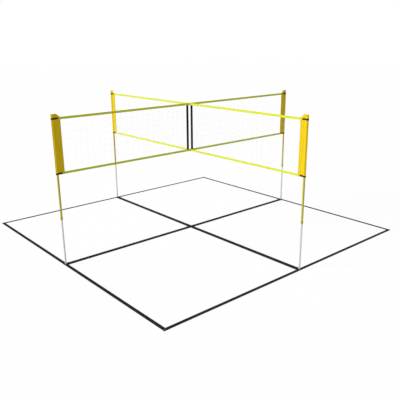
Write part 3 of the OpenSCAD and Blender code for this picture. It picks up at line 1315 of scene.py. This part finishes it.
    def sway(self, x: float, z: float) -> float:
        """Soft upright folds that both panels share, away from the tube, the straps and the edges.

        Args:
            x: Place along the panel.
            z: Height.

        Returns:
            How far both panels stray from their middle plane there.
        """
        s = self.sizes
        near, far, upright = self.drape_fade
        seed = self.wing.quarters + self.drape_seed
        free = fade((-x - self.seam_in) / near, (x + self.panel_in - self.binding_w) / far)
        ends = fade((z - s.bottom_z - self.drape_hem) / upright, (s.slant_z - z) / upright)
        calm = 1 - self.near_strap(z, self.drape_reach)
        folds = self.drape_folds.at(x, z, seed) + self.drape_creases.at(x, z, seed)
        return self.drape * free * ends * calm * folds

    def point(self, x: float, t: float, side: int, proud: float = 0.0) -> Vector:
        """A point of the cloth, in the wing's frame.

        Args:
            x: Place along the panel.
            t: Share of the height, from 0 at the hem to 1 at the upper edge.
            side: Which of the two panels, 1 or -1.
            proud: How far outside the cloth the point lies.

        Returns:
            The point.
        """
        s = self.sizes
        top = self.top(x)
        z = s.bottom_z + t * (top - s.bottom_z)
        half = self.half_width(x) + self.relief(x, z, side)
        left = top - z
        if left < self.roof:
            arch = math.sqrt(1 - (1 - left / self.roof) ** 2)
            half = self.roof_half + (half - self.roof_half) * arch
        return Vector((s.reach + x, side * (half + proud) + self.sway(x, z), z))

    def build_cloth(self) -> None:
        """Makes the sleeve's two panels as one closed loop of cloth with a sewn top."""
        s = self.sizes
        height = s.tip_z - s.bottom_z
        xs = self.stations()
        ts = spread(0.0, 1.0 - self.roof_start / height, self.rows)
        ts += [1.0 - depth * MM / height for depth in self.roof_rows]
        loop = [(x, -1) for x in xs] + [(x, 1) for x in reversed(xs)]
        sketch = Sketch()
        rings = [[self.point(x, t, side) for x, side in loop] for t in ts]
        sketch.sweep(rings, [t * height for t in ts], capped=False)
        last, count = (len(ts) - 1) * len(loop), len(loop)
        for j, (a, b) in enumerate(zip(xs, xs[1:])):
            corners = (last + j, last + j + 1, last + count - 2 - j, last + count - 1 - j)
            sketch.add_face(corners, [(a, 0.0), (b, 0.0), (b, MM), (a, MM)])
        label = self.wing.label
        obj = sketch.to_object(f"sleeve_{label}_cloth", self.wing.matrix, smooth_deg=75.0)
        skin = obj.modifiers.new("cloth", "SOLIDIFY")
        skin.thickness, skin.offset = self.cloth, 0.0
        dress(obj, NET_BODY, self.finishes.sleeve, [f"sleeve_{label}"])

    def build_seams(self) -> None:
        """Sews three upright seams, the lower hem and the slanted top on both panels."""
        height = self.sizes.tip_z - self.sizes.bottom_z
        proud = self.seam_proud + self.cloth / 2
        columns = (-self.panel_in + self.edge_seam, -self.seam_in, self.hem_out - self.outer_seam)
        (hem, hem_margin), (below_top, top_margin) = self.hem_row, self.top_row
        seams: list[Ring] = []
        for side in SIDES:
            for x in columns:
                heights = spread(*self.seam_span, self.seam_steps)
                seams.append([self.point(x, t, side, proud) for t in heights])
            for t, margin in ((hem / height, hem_margin), (1 - below_top / height, top_margin)):
                inner = [x for x in self.stations() if margin - self.panel_in < x < -self.seam_in]
                seams.append([self.point(x, t, side, proud) for x in inner])
        self.sew("stitches", seams, self.stitch)

    def binding_side(self, edge: float, half: float, grow: float) -> list[Flat]:
        """Outline of one side of the folded binding, seen from above.

        Args:
            edge: Place of the panel's edge.
            half: Distance from the middle plane to that side of the binding.
            grow: The binding's thickness for its outer side, 0 for its inner side.

        Returns:
            Points (along, aside) from one open edge round the fold to the other.
        """
        depth = half * self.fold_depth
        bend = [
            (edge - grow + depth * (1 - math.cos(a)), half * math.sin(a))
            for a in spread(-QUARTER_TURN, QUARTER_TURN, self.fold_steps)
        ]
        return [(edge + self.binding_w, -half), *bend, (edge + self.binding_w, half)]

    def build_binding(self) -> None:
        """Folds a narrow binding over the edge that faces the net and sews it."""
        s = self.sizes
        width, wall = self.binding_w, self.binding_t
        low, high = s.bottom_z + self.binding_ends[0], s.slant_z - self.binding_ends[1]
        inner = self.panel_half + self.cloth / 2 + self.binding_fit
        edge = -self.panel_in - self.binding_gap
        outer = inner + wall
        loop = [*self.binding_side(edge, outer, wall), *reversed(self.binding_side(edge, inner, 0.0))]
        heights = spread(low, high, self.binding_steps)
        rings = []
        for z in heights:
            aside = self.binding_stray * ripple(z, self.wing.value, self.binding_waves)
            rings.append([Vector((s.reach + x, y + aside, z)) for x, y in loop])
        name = f"sleeve_{self.wing.label}_binding"
        obj = swept(name, rings, heights, self.wing.matrix, smooth_deg=35.0)
        dress(obj, NET_BODY, self.finishes.binding)
        x, out = s.reach + edge + width - self.binding_seam, outer + self.binding_proud
        ends = (low + SEAM_END, high - SEAM_END)
        seams = [[Vector((x, side * out, z)) for z in ends] for side in SIDES]
        self.sew("binding_stitches", seams, self.stitch)

    def strap_path(self, grow: float) -> Ring:
        """The closed line that a strap follows around the sleeve, seen from above.

        Args:
            grow: Distance from the sleeve's cloth to the line.

        Returns:
            Points around the sleeve, in the wing's frame at height 0.
        """
        s = self.sizes
        end_x = s.strap_x - s.reach + s.strap_t / 2
        first, clear = (end_x + along for along in self.strap_start)
        xs = [end_x, first, *(x for x in self.stations() if x > clear)]
        side = [Vector((s.reach + x, self.half_width(x) + self.cloth / 2 + grow, 0.0)) for x in xs]
        side[0].y *= self.strap_nip
        side.append(side[-1] + Vector((grow + self.strap_turn, -side[-1].y * self.strap_nip, 0.0)))
        return [*side, *(Vector((p.x, -p.y, 0.0)) for p in reversed(side))]

    def build_straps(self) -> None:
        """Loops the two straps around the sleeve."""
        s = self.sizes
        label, half, bevel, selvedge = self.wing.label, s.strap_h / 2, self.strap_bevel, self.strap_edge
        inner, outer = self.strap_path(self.strap_gap), self.strap_path(self.strap_gap + s.strap_t)
        for name, level in zip(("lower", "upper"), s.strap_zs):
            rings, stations, length = [], [0.0], 0.0
            for k, (a, b) in enumerate(zip(inner, outer)):
                seed = self.wing.value + level
                wave = self.strap_stray * ripple(k * self.strap_step, seed, self.strap_waves)
                low, high = level - half + wave, level + half + wave
                edge = [(a, low + bevel), (b, low), (b, low + selvedge)]
                edge += [(b, high - selvedge), (b, high), (a, high - bevel)]
                rings.append([Vector((p.x, p.y, z)) for p, z in edge])
                length += (outer[(k + 1) % len(outer)] - b).length
                stations.append(length)
            obj = swept(f"{name}_strap_{label}", rings, stations, self.wing.matrix, path_closed=True)
            dress(obj, NET_BODY, self.finishes.webbing, [f"straps_{label}"])

    def build_tacks(self) -> None:
        """Sews a bar tack beside each slot that a strap passes through."""
        s = self.sizes
        reach = s.strap_h / 2 + self.tack_over
        xs = [s.strap_x - back for back in self.tack_span]
        seams: list[Ring] = []
        for side in SIDES:
            y = side * (self.panel_half + self.cloth / 2 + self.tack_proud)
            for level in s.strap_zs:
                heights = spread(level - reach, level + reach, self.tack_steps)
                seams.append([Vector((xs[k % 2], y, z)) for k, z in enumerate(heights)])
        self.sew("bar_tacks", seams, self.tack)

    def build(self) -> None:
        """Makes the sleeve, its binding, its seams and its straps."""
        self.build_cloth()
        self.build_binding()
        self.build_seams()
        self.build_straps()
        self.build_tacks()


# ---------------------------------------------------------------- nets


@dataclass
class NetWing(Assembly):
    """One wing of the nets: two folded bands, a folded centre tape and knotted twine."""

    recipe: NetRecipe
    wing: Wing
    fold: float = 1.0 * MM
    half: float = 1.9 * MM
    band_bulge: float = 0.4 * MM
    tape_bulge: float = 0.1 * MM
    square: float = 100 * MM
    twine: float = 1.0 * MM
    knot: float = 2.4 * MM
    slack: float = 1.6 * MM
    twine_seed: int = 3
    thinnest: float = 1.2 * MM
    inner_gap: float = 0.2 * MM
    flank: tuple[float, float] = (0.35, 0.62)
    flank_bulge: float = 0.4
    fold_from: float = 0.9
    fold_steps: int = 10
    step: float = 20 * MM
    sleeve_gap: float = 0.4 * MM
    tape_over: float = 1 * MM
    tape_steps: int = 36
    calm: float = 100 * MM
    stray: tuple[float, float] = (0.5 * MM, 0.3 * MM)
    stray_waves: tuple[float, float] = (2.3, 3.1)
    wing_seed: float = 10.0
    edge_seed: float = 2.0
    up_seed: float = 5.0
    tape_stray: float = 0.4 * MM
    tape_waves: float = 3.0
    tape_seeds: tuple[float, float] = (7.0, 1.0)
    tuck: float = 3 * MM
    proud: float = 0.3 * MM
    fold_proud: float = 0.25 * MM
    fold_seam: float = 9 * MM
    open_seam: float = 4 * MM
    tape_seam: float = 7 * MM
    band_stitch: Stitch = Stitch(11 * MM, 7.5 * MM)
    tape_stitch: Stitch = Stitch(9 * MM, 6 * MM)

    def folded(self, depth: float, bulge: float) -> list[Flat]:
        """Outline of a strip folded lengthwise, its fold up and its open edges down.

        Args:
            depth: Distance from the fold to the open edges.
            bulge: How much wider the fold is than the open edges.

        Returns:
            Points (aside, up) around the cloth, with the open edges at height 0.
        """
        straight, swollen = (depth * share for share in self.flank)
        flank = [(self.half, 0.0), (self.half, straight), (self.half + bulge * self.flank_bulge, swollen)]
        radius = self.half + bulge
        bend = [
            (-radius * math.cos(a), depth - radius + radius * math.sin(a))
            for a in spread(0.0, HALF_TURN, self.fold_steps)
        ]
        outer = [*((-x, z) for x, z in flank), *bend, *reversed(flank)]
        inner, roof = [], depth - self.fold - self.inner_gap
        for x, z in outer:
            shrink = 1 - self.fold / max(abs(x), self.thinnest) if x else 1.0
            inner.append((x * shrink, min(z, roof) if z > depth * self.fold_from else z))
        return [*outer, *reversed(inner)]

    def wander(self, s: float, seed: float, start: float, end: float) -> Flat:
        """How far a stretched strip strays from its line.

        Args:
            s: Place along the strip.
            seed: Number that picks its small waves.
            start: Where it starts.
            end: Where it ends.

        Returns:
            The distances (aside, up), which are 0 at both ends.
        """
        calm = fade((s - start) / self.calm, (end - s) / self.calm)
        (aside, up), (slow, quick) = self.stray, self.stray_waves
        return calm * aside * ripple(s, seed, slow), calm * up * ripple(s, seed + self.up_seed, quick)

    def build_band(self, edge: Edge) -> None:
        """Folds a band over one edge of the net and sews it.

        Args:
            edge: Which edge.
        """
        s = self.sizes
        label = self.wing.label
        node = f"{edge.value}_band_{label}"
        low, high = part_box(node)
        sign, base = (1, low.z) if edge is Edge.TOP else (-1, high.z)
        start, end = s.tape_x, s.panel_x - self.sleeve_gap
        stations = spread(start, end, round((end - start) / self.step))
        outline = self.folded(s.band_h, self.band_bulge)
        seed = self.wing.quarters * self.wing_seed + sign * self.edge_seed
        line = [(x, *self.wander(x, seed, start, end)) for x in stations]
        rings = [
            [Vector((x, y + aside, base + sign * z + up)) for y, z in outline]
            for x, aside, up in line
        ]
        obj = swept(f"{node}_webbing", rings, stations, self.wing.matrix)
        dress(obj, NET_BODY, self.finishes.band, [node])
        proud = self.half + self.proud
        rows = ((self.open_seam, proud), (s.band_h - self.fold_seam, proud + self.fold_proud))
        seams = [
            [Vector((x, side * out + aside, base + sign * height + up)) for x, aside, up in line]
            for side in SIDES
            for height, out in rows
        ]
        thread = self.finishes.band_thread
        name, turn = f"{node}_stitches", self.wing.matrix
        self.stitches.sew(name, seams, turn, self.band_stitch, thread, NET_BODY, "net_band")

    def build_tape(self) -> None:
        """Folds the black tape over the net's edge beside the crossing and sews it."""
        s = self.sizes
        low = s.bottom_z + s.band_h - self.tape_over
        high = s.slant_z - s.band_h + self.tape_over
        width = s.mesh_x - s.tape_x
        outline = self.folded(width, self.tape_bulge)
        heights = spread(low, high, self.tape_steps)
        seed = self.wing.value / self.tape_seeds[0] + self.tape_seeds[1]
        rings = []
        for z in heights:
            calm = fade((z - low) / self.calm, (high - z) / self.calm)
            aside = self.tape_stray * ripple(z, seed, self.tape_waves) * calm
            rings.append([Vector((s.tape_x + width - x, y + aside, z)) for y, x in outline])
        label, turn = self.wing.label, self.wing.matrix
        obj = swept(f"centre_tape_{label}", rings, heights, turn)
        dress(obj, NET_BODY, self.finishes.webbing, ["centre_tapes"])
        ends = (low + SEAM_END, high - SEAM_END)
        seams = [
            [Vector((x, side * (self.half + self.proud), z)) for z in ends]
            for side in SIDES
            for x in (s.tape_x + width - self.open_seam, s.tape_x + self.tape_seam)
        ]
        name, thread = f"centre_tape_{label}_stitches", self.finishes.black_thread
        self.stitches.sew(name, seams, turn, self.tape_stitch, thread, NET_BODY, "black_webbing")

    def build_twine(self) -> None:
        """Knots the net between the bands, the tape and the sleeve."""
        s = self.sizes
        low, high = s.bottom_z + s.band_h - self.tuck, s.slant_z - s.band_h + self.tuck
        start, end = s.mesh_x - self.tuck, s.panel_x + self.tuck
        obj = link(bpy.data.objects.new(f"net_{self.wing.label}_twine", bpy.data.meshes.new("net")))
        self.recipe.bake(obj, {
            "Width": end - start, "Height": high - low, "Twine": self.twine, "Knot": self.knot,
            "Slack": self.slack, "Columns": round((end - start) / self.square),
            "Rows": round((high - low) / self.square), "Seed": self.wing.value + self.twine_seed,
            "Material": self.finishes.twine,
        })
        middle = Vector(((start + end) / 2, 0.0, (low + high) / 2))
        obj.data.transform(self.wing.matrix @ Matrix.Translation(middle))
        dress(obj, NET_BODY, self.finishes.twine, [f"net_{self.wing.label}"])

    def build(self) -> None:
        """Makes the wing."""
        for edge in Edge:
            self.build_band(edge)
        self.build_tape()
        self.build_twine()


@dataclass
class Crosspiece(Assembly):
    """The sewn cross of webbing that joins four bands at the crossing."""

    edge: Edge
    half: float = 2.0 * MM
    root: float = 4 * MM
    root_steps: int = 5
    tuck: float = 0.2 * MM
    bevel: float = 0.35 * MM
    rim: float = 1 * MM
    smooth_deg: float = 40.0
    proud: float = 0.25 * MM
    inset: float = 5 * MM
    seam_span: tuple[float, float] = (10 * MM, 4 * MM)
    stitch: Stitch = Stitch(5 * MM, 3.4 * MM, 0.8 * MM)

    def outline(self, arm: float) -> list[Flat]:
        """Outline of the cross seen from above, with rounded inner corners.

        Args:
            arm: Length of an arm from the middle.

        Returns:
            Points (x, y), anticlockwise.
        """
        bend = [
            (self.half + self.root * (1 - math.sin(a)), self.half + self.root * (1 - math.cos(a)))
            for a in spread(0.0, QUARTER_TURN, self.root_steps)
        ]
        quarter = [(arm, -self.half), (arm, self.half), *bend]
        turns = ((1, 0), (0, 1), (-1, 0), (0, -1))
        return [(x * c - y * n, x * n + y * c) for c, n in turns for x, y in quarter]

    def build(self) -> None:
        """Makes the cross and its seams."""
        node = f"{self.edge.value}_crosspiece"
        low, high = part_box(node)
        arm = self.sizes.tape_x + self.tuck
        ends = (low.z, high.z)
        heights = [low.z, low.z + self.rim, sum(ends) / 2, high.z - self.rim, high.z]
        outline = self.outline(arm)
        rings = []
        for z in heights:
            shrink = self.bevel if z in ends else 0.0
            rings.append([Vector((drawn_in(x, shrink), drawn_in(y, shrink), z)) for x, y in outline])
        obj = swept(f"{node}_webbing", rings, heights, smooth_deg=self.smooth_deg)
        dress(obj, NET_BODY, self.finishes.band, [node])
        near, far = self.seam_span[0], arm - self.seam_span[1]
        under, over = low.z + self.inset, high.z - self.inset
        path = ((near, under), (far, under), (far, over), (near, over), (near, under), (far, over))
        seams = [
            [wing.matrix @ Vector((x, side * (self.half + self.proud), z)) for x, z in path]
            for wing in Wing
            for side in SIDES
        ]
        name, thread = f"{node}_stitches", self.finishes.band_thread
        self.stitches.sew(name, seams, STILL, self.stitch, thread, NET_BODY, "net_band")


# ---------------------------------------------------------------- studio


@dataclass(frozen=True)
class Studio:
    """Camera, lights and floor."""

    eye: tuple[float, float, float] = (-5.685, -6.852, 3.267)
    heading_deg: float = 40.76
    tilt_deg: float = 17.23
    roll_deg: float = -0.49
    focal_px: float = 516.7
    image_px: float = 400.0
    sensor_mm: float = 36.0
    seen_far: float = 100.0
    sky: float = 0.21
    key: float = 2.38
    key_from: tuple[float, float, float] = (-1.0, 0.52, 0.6)
    fill: float = 1.3
    fill_from: tuple[float, float, float] = (1.0, 0.4, 0.5)
    softness_deg: float = 20.0
    floor_albedo: float = 0.8
    floor_glow: float = 0.81
    shadow_albedo: float = 0.25
    floor_far: float = 60.0
    floor_z: float = -1 * MM

    def build_camera(self) -> None:
        """Sets the camera."""
        heading, tilt = math.radians(self.heading_deg), math.radians(self.tilt_deg)
        level = math.cos(tilt)
        ahead = Vector((math.sin(heading) * level, math.cos(heading) * level, -math.sin(tilt)))
        right = Vector((math.cos(heading), -math.sin(heading), 0.0))
        up = right.cross(ahead)
        roll = math.radians(self.roll_deg)
        c, n = math.cos(roll), math.sin(roll)
        right, up = right * c + up * n, up * c - right * n
        data = bpy.data.cameras.new("camera")
        data.sensor_width = self.sensor_mm
        data.lens = self.focal_px * self.sensor_mm / self.image_px
        data.clip_end = self.seen_far
        camera = link(bpy.data.objects.new("camera", data))
        turn = Matrix((right, up, -ahead)).transposed().to_4x4()
        camera.matrix_world = Matrix.Translation(Vector(self.eye)) @ turn
        bpy.context.scene.camera = camera

    def seen_as(self, tree: NodeTree, lit: Node, seen: Node) -> Node:
        """Shows one shader to camera, glossy and transmission rays, and another to the rest.

        Args:
            tree: The node tree to add to.
            lit: Shader for the rays that only carry light.
            seen: Shader for the rays that see the studio.

        Returns:
            The node that mixes the two.
        """
        path = tree.node("ShaderNodeLightPath").outputs
        total = path["Is Camera Ray"]
        for name in ("Is Glossy Ray", "Is Transmission Ray"):
            total = tree.math("MAXIMUM", total, path[name])
        return tree.node("ShaderNodeMixShader", {0: total, 1: lit, 2: seen})

    def build_world(self) -> None:
        """A soft even sky that is white where it is seen."""
        world = bpy.data.worlds.new("studio")
        world.use_nodes = True
        bpy.context.scene.world = world
        tree = NodeTree(world.node_tree)
        white = (1.0, 1.0, 1.0, 1.0)
        lit, seen = (
            tree.node("ShaderNodeBackground", {"Color": white, "Strength": strength})
            for strength in (self.sky, 1.0)
        )
        out = world.node_tree.nodes["World Output"]
        tree.link(self.seen_as(tree, lit, seen), out.inputs[0])

    def build_floor(self) -> None:
        """A white floor that keeps a soft shadow."""
        mesh = bpy.data.meshes.new("floor")
        far = self.floor_far
        corners = [(x, y, self.floor_z) for x, y in ((-far, -far), (far, -far), (far, far), (-far, far))]
        mesh.from_pydata(corners, [], [(0, 1, 2, 3)])
        floor = link(bpy.data.objects.new("floor", mesh))
        material = bpy.data.materials.new("white_floor")
        material.use_nodes = True
        material.node_tree.nodes.clear()
        tree = NodeTree(material.node_tree)
        matte, faint = (
            tree.node("ShaderNodeBsdfDiffuse", {"Color": (albedo, albedo, albedo, 1.0)})
            for albedo in (self.floor_albedo, self.shadow_albedo)
        )
        glow = tree.node("ShaderNodeEmission", {"Strength": self.floor_glow})
        seen = tree.node("ShaderNodeAddShader", {0: faint, 1: glow})
        tree.node("ShaderNodeOutputMaterial", {0: self.seen_as(tree, matte, seen)})
        floor.data.materials.append(material)

    def build_lamp(self, name: str, energy: float, source: tuple[float, float, float]) -> None:
        """Adds a broad soft lamp.

        Args:
            name: Its name.
            energy: Its strength.
            source: Direction that its light comes from.
        """
        data = bpy.data.lights.new(name, "SUN")
        data.energy = energy
        data.angle = math.radians(self.softness_deg)
        lamp = link(bpy.data.objects.new(name, data))
        lamp.rotation_mode = "QUATERNION"
        lamp.rotation_quaternion = Vector(source).to_track_quat("Z", "Y")

    def build(self) -> None:
        """Makes the whole studio."""
        self.build_camera()
        self.build_world()
        self.build_floor()
        self.build_lamp("key", self.key, self.key_from)
        self.build_lamp("fill", self.fill, self.fill_from)
        bpy.context.scene.view_settings.view_transform = "Standard"


def main() -> None:
    """Builds the scene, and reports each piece."""
    logging.basicConfig(level=logging.INFO, format="%(name)s: %(message)s")
    Studio().build()
    sizes = SetSizes.from_frame()
    finishes = Finishes.build()
    stitches, recipe = StitchRecipe(), NetRecipe()
    Court(sizes, finishes, stitches).build()
    for wing in Wing:
        Sleeve(sizes, finishes, stitches, wing).build()
        NetWing(sizes, finishes, stitches, recipe, wing).build()
    for edge in Edge:
        Crosspiece(sizes, finishes, stitches, edge).build()


if __name__ == "__main__":
    main()
